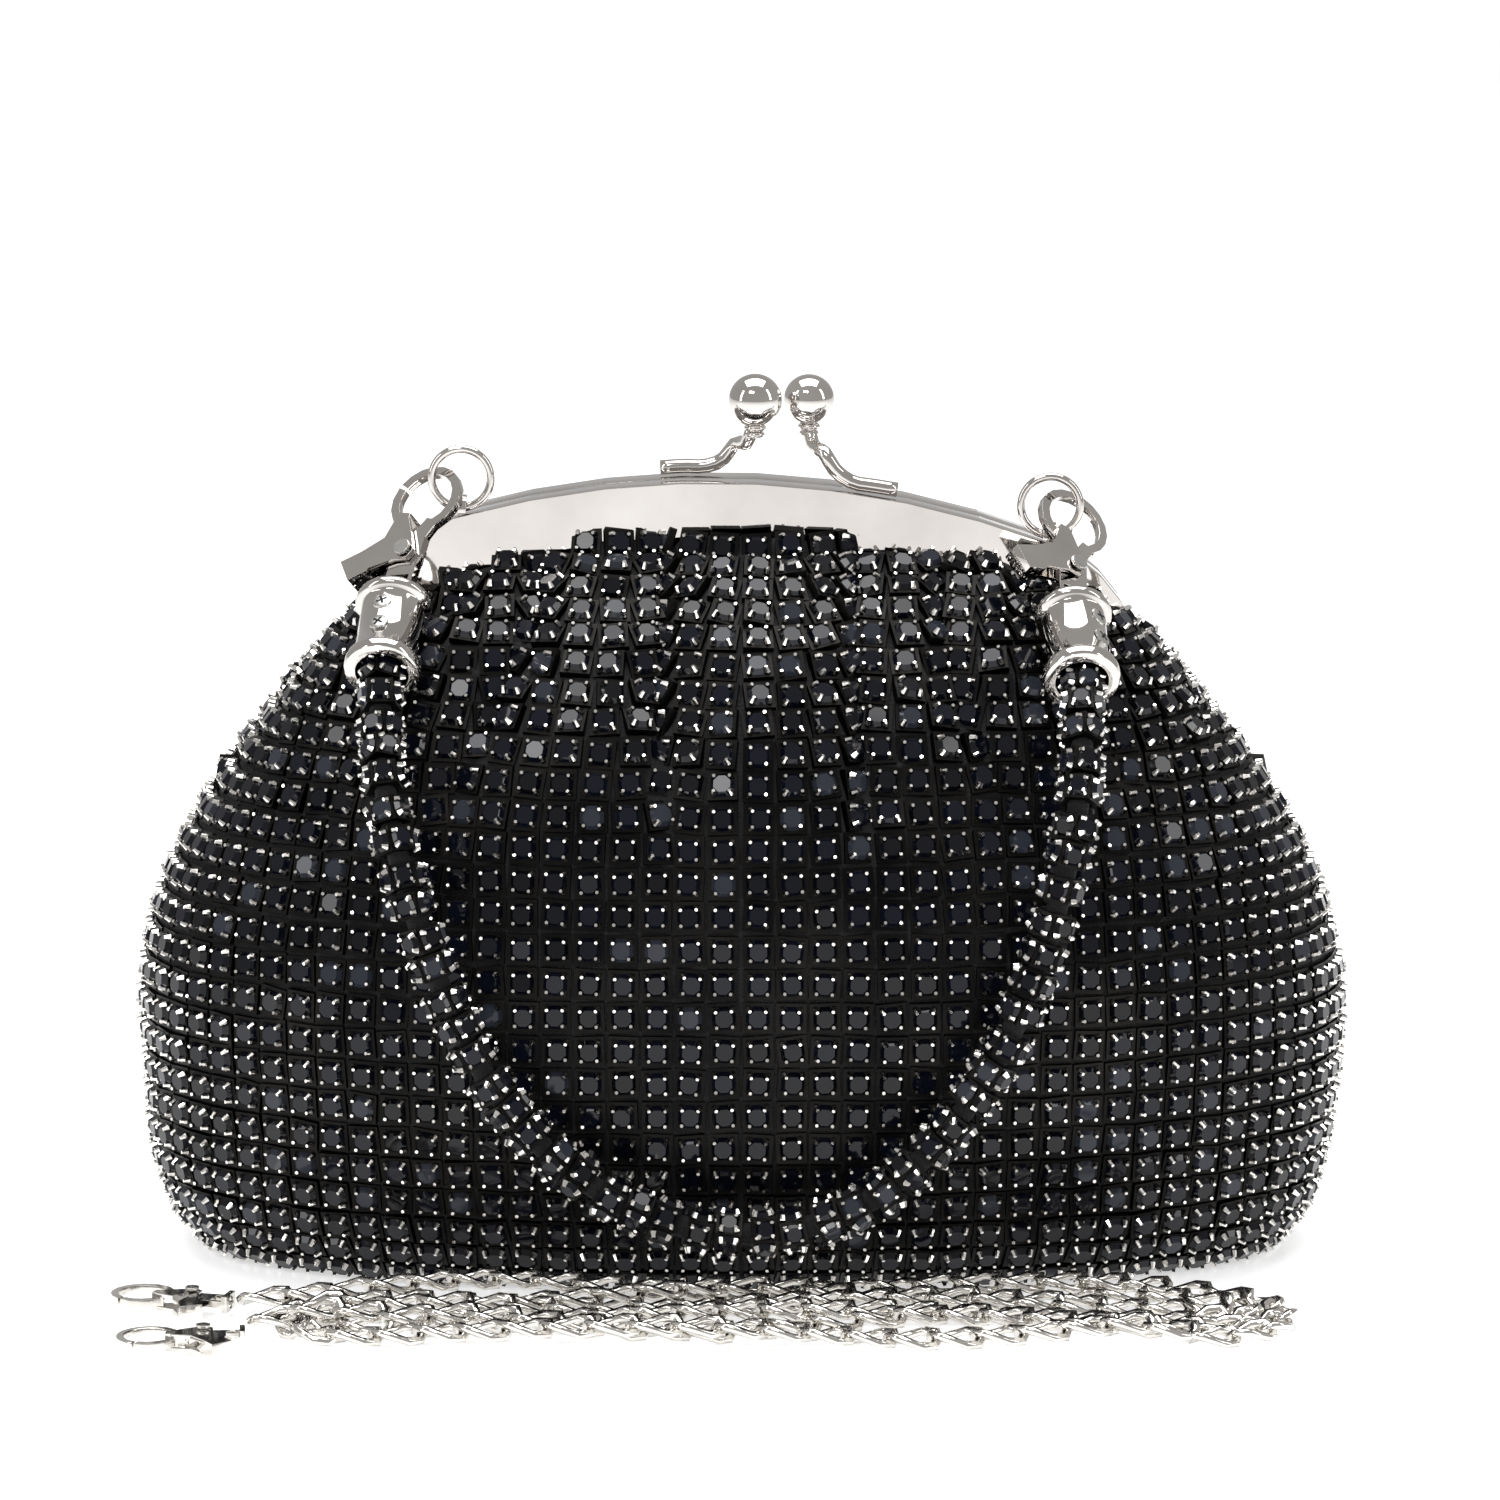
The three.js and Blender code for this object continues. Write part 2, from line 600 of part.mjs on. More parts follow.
for (const [name, { at, turn, scale }] of Object.entries(claws)) {
  const lying = new THREE.Matrix4().makeTranslation(...at);
  lying.multiply(new THREE.Matrix4().makeRotationZ(THREE.MathUtils.degToRad(turn)));
  lying.multiply(new THREE.Matrix4().makeRotationX(-Math.PI / 2));
  lying.multiply(new THREE.Matrix4().makeScale(scale, scale, scale));
  addHook(groupAt(lying), name);
}

export default bag;
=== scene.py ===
import json
import math
import random

import bmesh
import bpy
from mathutils import Matrix, Vector


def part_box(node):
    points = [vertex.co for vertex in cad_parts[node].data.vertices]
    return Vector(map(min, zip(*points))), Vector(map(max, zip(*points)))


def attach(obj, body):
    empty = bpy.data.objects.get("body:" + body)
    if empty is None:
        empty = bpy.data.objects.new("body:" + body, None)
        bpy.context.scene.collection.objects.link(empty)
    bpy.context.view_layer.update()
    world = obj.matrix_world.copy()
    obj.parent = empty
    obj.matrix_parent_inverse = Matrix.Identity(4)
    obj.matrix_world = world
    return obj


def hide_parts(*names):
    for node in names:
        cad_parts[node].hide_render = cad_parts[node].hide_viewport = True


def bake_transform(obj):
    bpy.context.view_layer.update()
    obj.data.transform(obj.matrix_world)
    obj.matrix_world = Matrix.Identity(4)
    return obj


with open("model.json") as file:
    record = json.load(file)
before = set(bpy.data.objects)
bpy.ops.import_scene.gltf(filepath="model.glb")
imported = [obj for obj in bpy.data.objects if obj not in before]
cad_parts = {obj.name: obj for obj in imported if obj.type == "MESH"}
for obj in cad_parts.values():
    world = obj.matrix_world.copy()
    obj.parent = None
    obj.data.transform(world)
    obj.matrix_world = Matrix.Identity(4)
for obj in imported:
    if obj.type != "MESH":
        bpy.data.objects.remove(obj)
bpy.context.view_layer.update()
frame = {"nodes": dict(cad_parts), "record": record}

mm = 0.001
rng = random.Random(11)
bodyOf = {node: body for body, nodes in frame["record"]["behaviour"]["bodies"].items() for node in nodes}


# camera
camera = {
    "target": (1.5 * mm, 0, 85 * mm),
    "distance": 1.0,
    "elevation": 10,
    "lens": 141.2,
}


def makeCamera(c):
    data = bpy.data.cameras.new("camera")
    data.lens = c["lens"]
    data.sensor_width = 36
    data.clip_start = 0.05
    obj = bpy.data.objects.new("camera", data)
    bpy.context.scene.collection.objects.link(obj)
    e = math.radians(c["elevation"])
    away = Vector((0, -math.cos(e), math.sin(e)))
    obj.location = Vector(c["target"]) + away * c["distance"]
    obj.rotation_euler = (math.radians(90) - e, 0, 0)
    bpy.context.scene.camera = obj


makeCamera(camera)
print("camera done")


# materials
def newMaterial(name, color, roughness, metallic=0.0, ior=1.5):
    material = bpy.data.materials.new(name)
    material.use_nodes = True
    shader = material.node_tree.nodes["Principled BSDF"]
    shader.inputs["Base Color"].default_value = (*color, 1)
    shader.inputs["Roughness"].default_value = roughness
    shader.inputs["Metallic"].default_value = metallic
    shader.inputs["IOR"].default_value = ior
    return material


def addNode(material, kind, **values):
    node = material.node_tree.nodes.new(kind)
    for key, value in values.items():
        if key in node.inputs:
            node.inputs[key].default_value = value
        else:
            setattr(node, key, value)
    return node


def link(material, output, target):
    material.node_tree.links.new(output, target)


def objectNoise(material, scale, detail=4.0):
    coords = addNode(material, "ShaderNodeTexCoord")
    noise = addNode(material, "ShaderNodeTexNoise", Scale=scale, Detail=detail)
    link(material, coords.outputs["Object"], noise.inputs["Vector"])
    return noise


def ramp(material, value, stops):
    node = addNode(material, "ShaderNodeValToRGB")
    link(material, value, node.inputs["Fac"])
    for i, (place, color) in enumerate(stops):
        element = node.color_ramp.elements[i] if i < 2 else node.color_ramp.elements.new(place)
        element.position = place
        element.color = (*color, 1)
    return node.outputs["Color"]


def bump(material, height, strength, distance):
    node = addNode(material, "ShaderNodeBump", Strength=strength, Distance=distance)
    link(material, height, node.inputs["Height"])
    link(material, node.outputs["Normal"], material.node_tree.nodes["Principled BSDF"].inputs["Normal"])


def polishedMetal(name, low, high, rough, grain=900.0, smear=60.0):
    # clouded plating: tone drifts slowly, roughness has fine wipe marks
    material = newMaterial(name, high, rough[0], 1.0)
    shader = material.node_tree.nodes["Principled BSDF"]
    cloud = objectNoise(material, smear)
    link(material, ramp(material, cloud.outputs["Fac"], [(0.3, low), (0.7, high)]), shader.inputs["Base Color"])
    wipe = objectNoise(material, grain, 6.0)
    spread = addNode(material, "ShaderNodeMapRange")
    spread.inputs["To Min"].default_value = rough[0]
    spread.inputs["To Max"].default_value = rough[1]
    link(material, wipe.outputs["Fac"], spread.inputs["Value"])
    link(material, spread.outputs["Result"], shader.inputs["Roughness"])
    bump(material, wipe.outputs["Fac"], 0.04, 0.00005)
    return material


def jetGlass():
    # black glass with a blue cast that differs from stone to stone; the lightest stones are painted glints, standing
    # in for stones that catch the light
    material = newMaterial("jetGlass", (0.003, 0.0035, 0.006), 0.05, 0.0, 1.36)
    shader = material.node_tree.nodes["Principled BSDF"]
    tone = addNode(material, "ShaderNodeAttribute", attribute_name="tone")
    # the light blue-grey top of this ramp is a painted glint
    colors = [(0.0, (0.0015, 0.0018, 0.003)), (0.8, (0.004, 0.005, 0.011)), (1.0, (0.022, 0.025, 0.034))]
    link(material, ramp(material, tone.outputs["Fac"], colors), shader.inputs["Base Color"])
    return material


def wovenCloth(name, dark, light, pitch, rough=0.6, sheen=0.2):
    material = newMaterial(name, dark, rough)
    shader = material.node_tree.nodes["Principled BSDF"]
    shader.inputs["Sheen Weight"].default_value = sheen
    coords = addNode(material, "ShaderNodeTexCoord")
    waves = []
    for direction in ("X", "Z"):
        wave = addNode(material, "ShaderNodeTexWave", bands_direction=direction, Scale=0.314 / pitch)
        link(material, coords.outputs["Object"], wave.inputs["Vector"])
        waves.append(wave.outputs["Fac"])
    both = addNode(material, "ShaderNodeMath", operation="MULTIPLY")
    link(material, waves[0], both.inputs[0])
    link(material, waves[1], both.inputs[1])
    link(material, ramp(material, both.outputs[0], [(0.1, dark), (0.8, light)]), shader.inputs["Base Color"])
    bump(material, both.outputs[0], 0.5, 0.0002)
    return material


finish = {
    "stone": jetGlass(),
    "cup": polishedMetal("darkCup", (0.006, 0.006, 0.006), (0.018, 0.017, 0.016), (0.35, 0.5)),
    "prong": polishedMetal("brightProng", (0.72, 0.70, 0.67), (0.93, 0.91, 0.88), (0.1, 0.2)),
    "net": wovenCloth("blackNet", (0.001, 0.001, 0.0012), (0.004, 0.004, 0.005), 0.0007, 0.85, 0.0),
    "nickel": polishedMetal("nickelPlate", (0.52, 0.495, 0.475), (0.64, 0.615, 0.59), (0.035, 0.08)),
    "chain": polishedMetal("chainNickel", (0.58, 0.56, 0.53), (0.76, 0.74, 0.7), (0.06, 0.14), 1400.0, 220.0),
    "steel": polishedMetal("screwSteel", (0.45, 0.44, 0.42), (0.7, 0.69, 0.67), (0.2, 0.32)),
    # painted shade: near-black steel for the screws' cross slots, standing in for the shadow inside the slot
    "slotShade": polishedMetal("paintedSlotShade", (0.02, 0.02, 0.02), (0.06, 0.06, 0.06), (0.5, 0.6)),
    "satin": wovenCloth("blackSatin", (0.006, 0.006, 0.008), (0.02, 0.02, 0.024), 0.0004, 0.35, 0.5),
    "cotton": wovenCloth("cottonCord", (0.3, 0.26, 0.2), (0.55, 0.5, 0.4), 0.0006, 0.9),
    "board": wovenCloth("fibreBoard", (0.22, 0.19, 0.15), (0.34, 0.3, 0.25), 0.0012, 0.95),
}
print("materials done")


# small helpers
def newObject(name, bm, materials, smooth=None):
    mesh = bpy.data.meshes.new(name)
    bm.to_mesh(mesh)
    bm.free()
    for material in materials:
        mesh.materials.append(material)
    if smooth is not None:
        mesh.shade_smooth()
        mesh.set_sharp_from_angle(angle=math.radians(smooth))
    obj = bpy.data.objects.new(name, mesh)
    bpy.context.scene.collection.objects.link(obj)
    return obj


def paintNew(bm, before, index):
    # gives the faces made since before was taken a material slot
    for face in bm.faces:
        if face not in before:
            face.material_index = index


def place(origin, xAxis, zAxis, scale=1.0):
    z = zAxis.normalized()
    y = z.cross(xAxis).normalized()
    x = y.cross(z)
    turn = Matrix((x, y, z)).transposed().to_4x4()
    return Matrix.Translation(origin) @ turn @ Matrix.Scale(scale, 4)


def smoothStep(a, b, value):
    t = min(1.0, max(0.0, (value - a) / (b - a)))
    return t * t * (3 - 2 * t)


def tube(bm, points, radius, sides=12):
    # rings of a round section, each turned with the line, bridged one to the next
    rings = []
    side = None
    for i, p in enumerate(points):
        ahead = (points[min(i + 1, len(points) - 1)] - points[max(i - 1, 0)]).normalized()
        side = ahead.orthogonal() if side is None else side - ahead * side.dot(ahead)
        ring = bmesh.ops.create_circle(bm, segments=sides, radius=radius, matrix=place(p, side, ahead))["verts"]
        rings.append(ring)
    for a, b in zip(rings, rings[1:]):
        for k in range(sides):
            bm.faces.new((a[k], a[(k + 1) % sides], b[(k + 1) % sides], b[k]))
    bm.faces.new(reversed(rings[0]))
    bm.faces.new(rings[-1])


def smoothLine(points, step):
    # a Catmull-Rom line through the points, at about one step between samples
    line = []
    for i in range(len(points) - 1):
        a, b, c, d = (points[min(max(k, 0), len(points) - 1)] for k in (i - 1, i, i + 1, i + 2))
        count = max(1, round((c - b).length / step))
        for k in range(count):
            t = k / count
            line.append(0.5 * ((2 * b) + (c - a) * t + (2 * a - 5 * b + 4 * c - d) * t**2
                               + (3 * b - a - 3 * c + d) * t**3))
    line.append(points[-1].copy())
    return line


# chain strap, first of the pieces because it is a free cord
chain = {
    "left": -62 * mm, "right": 74 * mm, "middle": -62.5 * mm,
    "radii": [13.3, 10.7, 8.2, 5.8, 3.4],
    "lie": 3.0 * mm, "over": 2.4 * mm,
    "start": (-82.5, -52.7, 2.9), "end": (-78.5, -73.2, 3.0),
    "wire": 1.5 * mm, "linkLength": 9.8 * mm, "linkWidth": 6.5 * mm, "pitch": 6.9 * mm, "twist": 36,
    "length": 0.98,
    "wave": 1.2 * mm, "laneSamples": 12, "turnSamples": 6, "turnLift": 0.3 * mm, "endLift": 3.2 * mm, "step": 1.5 * mm,
    "roll": 7,
}


def chainPath(c):
    mid = c["middle"]
    points = [Vector(c["start"]) * mm, Vector((-74 * mm, -50.2 * mm, c["lie"]))]
    lane = mid + c["radii"][0] * mm
    toRight = True
    for r in [radius * mm for radius in c["radii"]] + [None]:
        ends = (c["left"], c["right"]) if toRight else (c["right"], c["left"])
        for k in range(1, c["laneSamples"]):
            x = ends[0] + (ends[1] - ends[0]) * k / c["laneSamples"]
            wave = math.sin(x * 95 + lane * 900) * c["wave"]
            lift = c["over"] * (0.5 + 0.5 * math.sin(x * 70 + lane * 1700))
            points.append(Vector((x, lane + wave, c["lie"] + lift)))
        if r is None:
            break
        centre = lane - r if toRight else lane + r
        side = 1 if toRight else -1
        for k in range(c["turnSamples"] + 1):
            a = math.pi * k / c["turnSamples"]
            x = ends[1] + side * r * math.sin(a)
            y = centre + (r if toRight else -r) * math.cos(a)
            points.append(Vector((x, y, c["lie"] + c["turnLift"])))
        lane = centre - r if toRight else centre + r
        toRight = not toRight
    points.append(Vector((-70 * mm, -70 * mm, c["lie"] + c["endLift"])))
    points.append(Vector(c["end"]) * mm)
    line = smoothLine(points, c["step"])
    for p in line:
        p.z = max(p.z, c["start"][2] * mm)
    return line


def linkMesh(c):
    bm = bmesh.new()
    reach = c["linkWidth"] / 2 - c["wire"] / 2
    bmesh.ops.create_circle(bm, segments=6, radius=c["wire"] / 2,
                            matrix=Matrix.Translation((reach, 0, 0)) @ Matrix.Rotation(math.pi / 2, 4, "X"))
    bmesh.ops.spin(bm, geom=bm.edges[:], axis=(0, 0, 1), cent=(0, 0, 0), steps=10, angle=2 * math.pi, use_merge=True)
    stretch = (c["linkLength"] - c["wire"]) / 2 - reach
    for v in bm.verts:
        v.co.x += stretch * smoothStep(-reach, reach, v.co.x) * 2 - stretch
        v.co = Matrix.Rotation(math.radians(c["twist"]) * v.co.x / (reach + stretch), 3, "X") @ v.co
    bmesh.ops.remove_doubles(bm, verts=bm.verts[:], dist=1e-6)
    bmesh.ops.recalc_face_normals(bm, faces=bm.faces[:])
    mesh = bpy.data.meshes.new("link")
    bm.to_mesh(mesh)
    bm.free()
    mesh.shade_smooth()
    return mesh


def strewn(name, mesh, places, materials, tonesAndGlints=None):
    # one shape repeated at each place, as one mesh
    bm = bmesh.new()
    for i, matrix in enumerate(places):
        copy = mesh.copy()
        copy.transform(matrix)
        if tonesAndGlints is not None:
            copy.attributes["tone"].data.foreach_set("value", [tonesAndGlints[i]] * len(copy.vertices))
        bm.from_mesh(copy)
        bpy.data.meshes.remove(copy)
    return newObject(name, bm, materials)


def makeChain(c):
    path = chainPath(c)
    places = []
    travelled = 0.0
    nextLink = c["linkLength"] / 2
    for a, b in zip(path, path[1:]):
        length = (b - a).length
        while travelled + length >= nextLink:
            at = a.lerp(b, (nextLink - travelled) / length)
            roll = Matrix.Rotation(math.radians(rng.uniform(-c["roll"], c["roll"])), 4, "X")
            places.append(place(at, b - a, Vector((0, 0, 1))) @ roll)
            nextLink += c["pitch"]
        travelled += length
    obj = strewn("curbChain", linkMesh(c), places, [finish["chain"]])
    print("chain length", round(travelled, 4), "links", len(places))
    return obj, path


curbChain, curbPath = makeChain(chain)


# polished copies of CAD pieces
def polished(node, material, width=0.0, smooth=35):
    bm = bmesh.new()
    bm.from_mesh(frame["nodes"][node].data)
    bmesh.ops.remove_doubles(bm, verts=bm.verts[:], dist=2e-6)
    if width > 0:
        bmesh.ops.dissolve_limit(bm, angle_limit=math.radians(0.8), verts=bm.verts[:], edges=bm.edges[:])
        sharp = [e for e in bm.edges if e.is_manifold and e.calc_face_angle() > math.radians(32)]
        bmesh.ops.bevel(bm, geom=sharp, offset=width, segments=2, profile=0.5, affect="EDGES",
                        clamp_overlap=True, material=-1)
    obj = newObject(f"{node}_finished", bm, [finish[material]], smooth)
    for face in obj.data.polygons:  # flat plates stay flat and only their edges roll over
        if len(face.vertices) > 6:
            face.use_smooth = False
    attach(obj, bodyOf[node])
    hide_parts(node)
    return obj


for claw in ("claw_a", "claw_b"):
    polished(f"{claw}_body", "chain", 0.0002)
    polished(f"{claw}_lever", "chain", 0.0002)
    polished(f"{claw}_rivet", "steel", 0.0001)
    polished(f"{claw}_spring", "steel")

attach(curbChain, "pouch")
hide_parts("chain_hank")
print("chain done")


ringWire = 0.7 * mm
ballRadius = {"front": 4.3 * mm, "back": 4.5 * mm}


def makeRing(node, wire):
    low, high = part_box(node)
    radius = (high.x - low.x) / 2 - wire
    bm = bmesh.new()
    bmesh.ops.create_circle(bm, segments=16, radius=wire, matrix=Matrix.Translation((radius, 0, 0)))
    bmesh.ops.spin(bm, geom=bm.edges[:], axis=(0, 1, 0), cent=(0, 0, 0), steps=56, angle=2 * math.pi, use_merge=True)
    bmesh.ops.remove_doubles(bm, verts=bm.verts[:], dist=1e-6)
    bmesh.ops.recalc_face_normals(bm, faces=bm.faces[:])
    bmesh.ops.translate(bm, vec=(low + high) / 2, verts=bm.verts[:])
    obj = newObject(f"{node}_finished", bm, [finish["nickel"]], 180)
    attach(obj, bodyOf[node])
    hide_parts(node)


for side in ("left", "right"):
    polished(f"hook_{side}_body", "nickel", 0.00028)
    polished(f"hook_{side}_lever", "nickel", 0.00022)
    polished(f"hook_{side}_rivet", "steel", 0.00012)
    polished(f"hook_{side}_spring", "steel")
    polished(f"swivel_post_{side}", "nickel", 0.0, 50)
    makeRing(f"ring_{side}", ringWire)
    polished(f"ring_staple_{side}", "nickel", 0.0001)
    polished(f"hinge_rivet_{side}", "steel", 0.0001)
for half in ("front", "back"):
    polished(f"{half}_frame", "nickel", 0.00025, 30)
    polished(f"{half}_clasp_arm", "nickel", 0.0, 60)
print("hardware done")


# kiss-lock balls
def makeBall(node, radius):
    low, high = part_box(node)
    centre = (low + high) / 2
    bm = bmesh.new()
    bmesh.ops.create_uvsphere(bm, u_segments=40, v_segments=22, radius=radius, matrix=Matrix.Translation(centre))
    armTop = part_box(node.replace("ball", "arm"))[1].z
    # collar where the arm meets the ball
    neck = Vector((centre.x, centre.y, armTop - 0.3 * mm))
    for lift, wide in ((-0.2 * mm, 1.9 * mm), (-1.3 * mm, 1.65 * mm)):
        bmesh.ops.create_uvsphere(bm, u_segments=24, v_segments=10, radius=wide,
                                  matrix=Matrix.Translation(neck + Vector((0, 0, lift)))
                                  @ Matrix.Scale(0.42, 4, (0, 0, 1)))
    obj = newObject(f"{node}_finished", bm, [finish["nickel"]], 180)
    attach(obj, bodyOf[node])
    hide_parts(node)


for half, radius in ballRadius.items():
    makeBall(f"{half}_clasp_ball", radius)


# ferrules with their screws
ferrules = {
    "left": {"top": (-57.4, -19.9, 113.7), "up": (0.08, 0.82, 0.57), "screws": -18},
    "right": {"top": (54.8, -23.2, 112.4), "up": (-0.05, 0.84, 0.54), "screws": 50},
}
# radius and place along the sleeve, from the bore at the top down the outside and back up the bore
sleeve = [
    (1.3, 0), (4.9, 0), (5.2, -0.15), (5.9, -0.35), (6.3, -0.75), (6.4, -1.3), (6.3, -1.85), (5.9, -2.25),
    (5.45, -2.45), (5.2, -2.8), (5.15, -8.0), (5.2, -14.3), (5.5, -14.7), (5.9, -14.9), (6.3, -15.3),
    (6.4, -15.9), (6.35, -16.8), (6.1, -17.3), (5.6, -17.5), (4.4, -17.5), (4.35, -1.4), (1.3, -1.4),
]
screwRows = (5.6 * mm, 10.6 * mm)  # how far down the sleeve
screwSeat = 5.05 * mm  # from the sleeve's middle line to the screw's seat


def ferruleMatrix(f):
    up = Vector(f["up"])
    side = up.cross(Vector((0, -1, 0.17)))
    return place(Vector(f["top"]) * mm, side, up)


def makeFerrule(side, f):
    matrix = ferruleMatrix(f)
    bm = bmesh.new()
    verts = [bm.verts.new((r * mm, 0, z * mm)) for r, z in sleeve]
    edges = [bm.edges.new((verts[i - 1], verts[i])) for i in range(len(verts))]
    bmesh.ops.spin(bm, geom=verts + edges, axis=(0, 0, 1), cent=(0, 0, 0), steps=56, angle=2 * math.pi, use_merge=True)
    bmesh.ops.remove_doubles(bm, verts=bm.verts[:], dist=1e-6)
    bmesh.ops.recalc_face_normals(bm, faces=bm.faces[:])
    bmesh.ops.transform(bm, matrix=matrix, verts=bm.verts[:])
    obj = newObject(f"ferrule_{side}_finished", bm, [finish["nickel"]], 40)
    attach(obj, "handle")
    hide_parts(f"ferrule_{side}")
    for i, down in enumerate(screwRows):
        facing = (matrix @ Matrix.Rotation(math.radians(f["screws"]), 4, "Z")
                  @ Matrix.Translation((0, -screwSeat, -down)))
        makeScrew(f"ferrule_screw_{side}_{i + 1}", facing @ Matrix.Rotation(math.pi / 2, 4, "X"), 20 + 37 * i)


def makeScrew(node, matrix, turn):
    bm = bmesh.new()
    for lift, low, high, depth in ((0.15, 1.62, 1.55, 0.3), (0.4, 1.55, 1.1, 0.2)):
        bmesh.ops.create_cone(bm, cap_ends=True, segments=28, radius1=low * mm, radius2=high * mm, depth=depth * mm,
                              matrix=matrix @ Matrix.Translation((0, 0, lift * mm)))
    before = set(bm.faces)
    # the cross slot is not cut: two flat bars sit flush with the head top and carry the painted slot shade
    for angle in (turn, turn + 90):
        bmesh.ops.create_cube(bm, size=1, matrix=matrix @ Matrix.Translation((0, 0, 0.42 * mm))
                              @ Matrix.Rotation(math.radians(angle), 4, "Z")
                              @ Matrix.Diagonal((1.9 * mm, 0.42 * mm, 0.2 * mm, 1)))
    paintNew(bm, before, 1)
    obj = newObject(f"{node}_finished", bm, [finish["steel"], finish["slotShade"]], 35)
    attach(obj, "handle")
    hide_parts(node)


for side, values in ferrules.items():
    makeFerrule(side, values)
print("ferrules done")


# one crystal in its cup
crystal = {
    "pitch": 5.5 * mm, "cup": 2.5 * mm, "cupHeight": 1.3 * mm,
    "girdle": 2.15 * mm, "table": 1.5 * mm, "crown": 0.95 * mm,
    "prongReach": 1.4 * mm, "prongWide": 0.5 * mm, "prongTop": 0.3 * mm, "prongHigh": 1.1 * mm, "height": 2.7 * mm,
}


def slotted(bm, index, joined):
    # adds a finished part to the joined mesh with its own material slot
    part = bpy.data.meshes.new("part")
    bm.to_mesh(part)
    bm.free()
    part.polygons.foreach_set("material_index", [index] * len(part.polygons))
    joined.from_mesh(part)
    bpy.data.meshes.remove(part)


def crystalMesh(c, name, prongLong=1.0):
    joined = bmesh.new()
    bm = bmesh.new()
    bmesh.ops.create_cube(bm, size=1, matrix=Matrix.Translation((0, 0, c["cupHeight"] / 2))
                          @ Matrix.Diagonal((2 * c["cup"], 2 * c["cup"], c["cupHeight"], 1)))
    slotted(bm, 1, joined)
    bm = bmesh.new()
    base = c["cupHeight"] - 0.05 * mm
    bmesh.ops.create_cone(bm, cap_ends=True, segments=8, radius1=c["girdle"], radius2=c["table"], depth=c["crown"],
                          matrix=Matrix.Translation((0, 0, base + c["crown"] / 2))
                          @ Matrix.Rotation(math.radians(22.5), 4, "Z"))
    slotted(bm, 0, joined)
    for x in (-1, 1):
        for y in (-1, 1):
            bm = bmesh.new()
            lean = Matrix.Rotation(math.radians(12) * y, 4, "X") @ Matrix.Rotation(math.radians(-12) * x, 4, "Y")
            middle = c["height"] - c["prongHigh"] / 2 - 0.1 * mm
            at = Matrix.Translation((x * c["prongReach"], y * c["prongReach"], middle))
            bmesh.ops.create_cone(bm, cap_ends=True, segments=6, radius1=c["prongWide"], radius2=c["prongTop"],
                                  depth=c["prongHigh"], matrix=at @ lean @ Matrix.Scale(prongLong, 4, (0, 1, 0)))
            slotted(bm, 2, joined)
    mesh = bpy.data.meshes.new(name)
    joined.to_mesh(mesh)
    joined.free()
    mesh.attributes.new("tone", "FLOAT", "POINT")
    return mesh


crystalFinish = [finish["stone"], finish["cup"], finish["prong"]]


def toneAndGlintOf():
    # most stones get a random dark tone, which is real variation; about one in eight gets the full value, a painted
    # glint
    pick = rng.random()
    return pick * 0.7 if pick < 0.88 else 1.0


# pouch surface
# height, half width and half depth, bottom to frame
pouchOutline = [
    (0, 90, 34), (3, 94.5, 39.5), (8, 98.5, 44), (15, 101, 47.5), (25, 102.5, 50.5), (45, 103.5, 52.5),
    (55, 102, 52.5), (65, 98.8, 51.5), (75, 93.8, 49), (84, 88, 45), (92, 82, 40.5), (100, 75.5, 34),
    (107, 69, 27.5), (113, 62, 20.5), (117, 55, 14.5), (120, 45, 10), (125, 30, 8.6),
]
pouch = {"squareness": 2.3, "wall": 3 * mm, "foldsFrom": 66 * mm, "foldsFull": 104 * mm}
# pleats of the gathered front: where each starts and ends across the bag, and how far it stands out, in mm
pleats = [
    (-64, -50, 3.0), (-50, -35, 3.6), (-35, -13, 4.6), (-13, 18.5, 6.6), (18.5, 33, 2.4), (33, 48, 3.6), (48, 64, 3.0),
]
archShape = {"centre": 1.0, "half": 66.5, "rise": 33.5, "corner": 24.0, "crown": 160.0, "pivot": 98.0, "roll": 2.7}


def halfSizes(z):
    h = z / mm
    rows = pouchOutline
    i = 0
    while i < len(rows) - 2 and rows[i + 1][0] < h:
        i += 1
    a, b, c, d = (rows[min(max(k, 0), len(rows) - 1)] for k in (i - 1, i, i + 1, i + 2))
    t = min(1.0, max(0.0, (h - b[0]) / (c[0] - b[0])))
    sizes = []
    for k in (1, 2):
        before = (c[k] - a[k]) / max(1e-6, c[0] - a[0]) * (c[0] - b[0])
        after = (d[k] - b[k]) / max(1e-6, d[0] - b[0]) * (c[0] - b[0])
        value = (b[k] * (2 * t**3 - 3 * t**2 + 1) + before * (t**3 - 2 * t**2 + t)
                 + c[k] * (3 * t**2 - 2 * t**3) + after * (t**3 - t**2))
        sizes.append(value * mm)
    return sizes


def archInset(x, z):
    # how far inside the frame's outline a point is, in mm, in the frame's own lean; below the hinges it is far inside
    a = archShape
    lean = math.radians(a["roll"])
    dx, dz = x / mm - a["centre"], z / mm - a["pivot"]
    lx = abs(dx * math.cos(lean) - dz * math.sin(lean))
    lz = dx * math.sin(lean) + dz * math.cos(lean)
    crownZ = a["rise"] - a["crown"]
    cornerX = a["half"] - a["corner"]
    cornerZ = crownZ + math.sqrt((a["crown"] - a["corner"]) ** 2 - cornerX**2)
    if lz < -5:
        return 99.0
    if lx * (cornerZ - crownZ) < cornerX * (lz - crownZ):
        return a["crown"] - math.hypot(lx, lz - crownZ)
    if lz < cornerZ:
        return a["half"] - lx
    return a["corner"] - math.hypot(lx - cornerX, lz - cornerZ)


def hidden(p, least):
    # true where the frame's metal stands, so that the cloth stops at it
    if p.z < 112 * mm and abs(p.y) > 9.5 * mm:
        return False
    over = 3.6 if abs(p.y) > 10.5 * mm else 0.0
    return -1.0 < archInset(p.x, p.z) < least - over


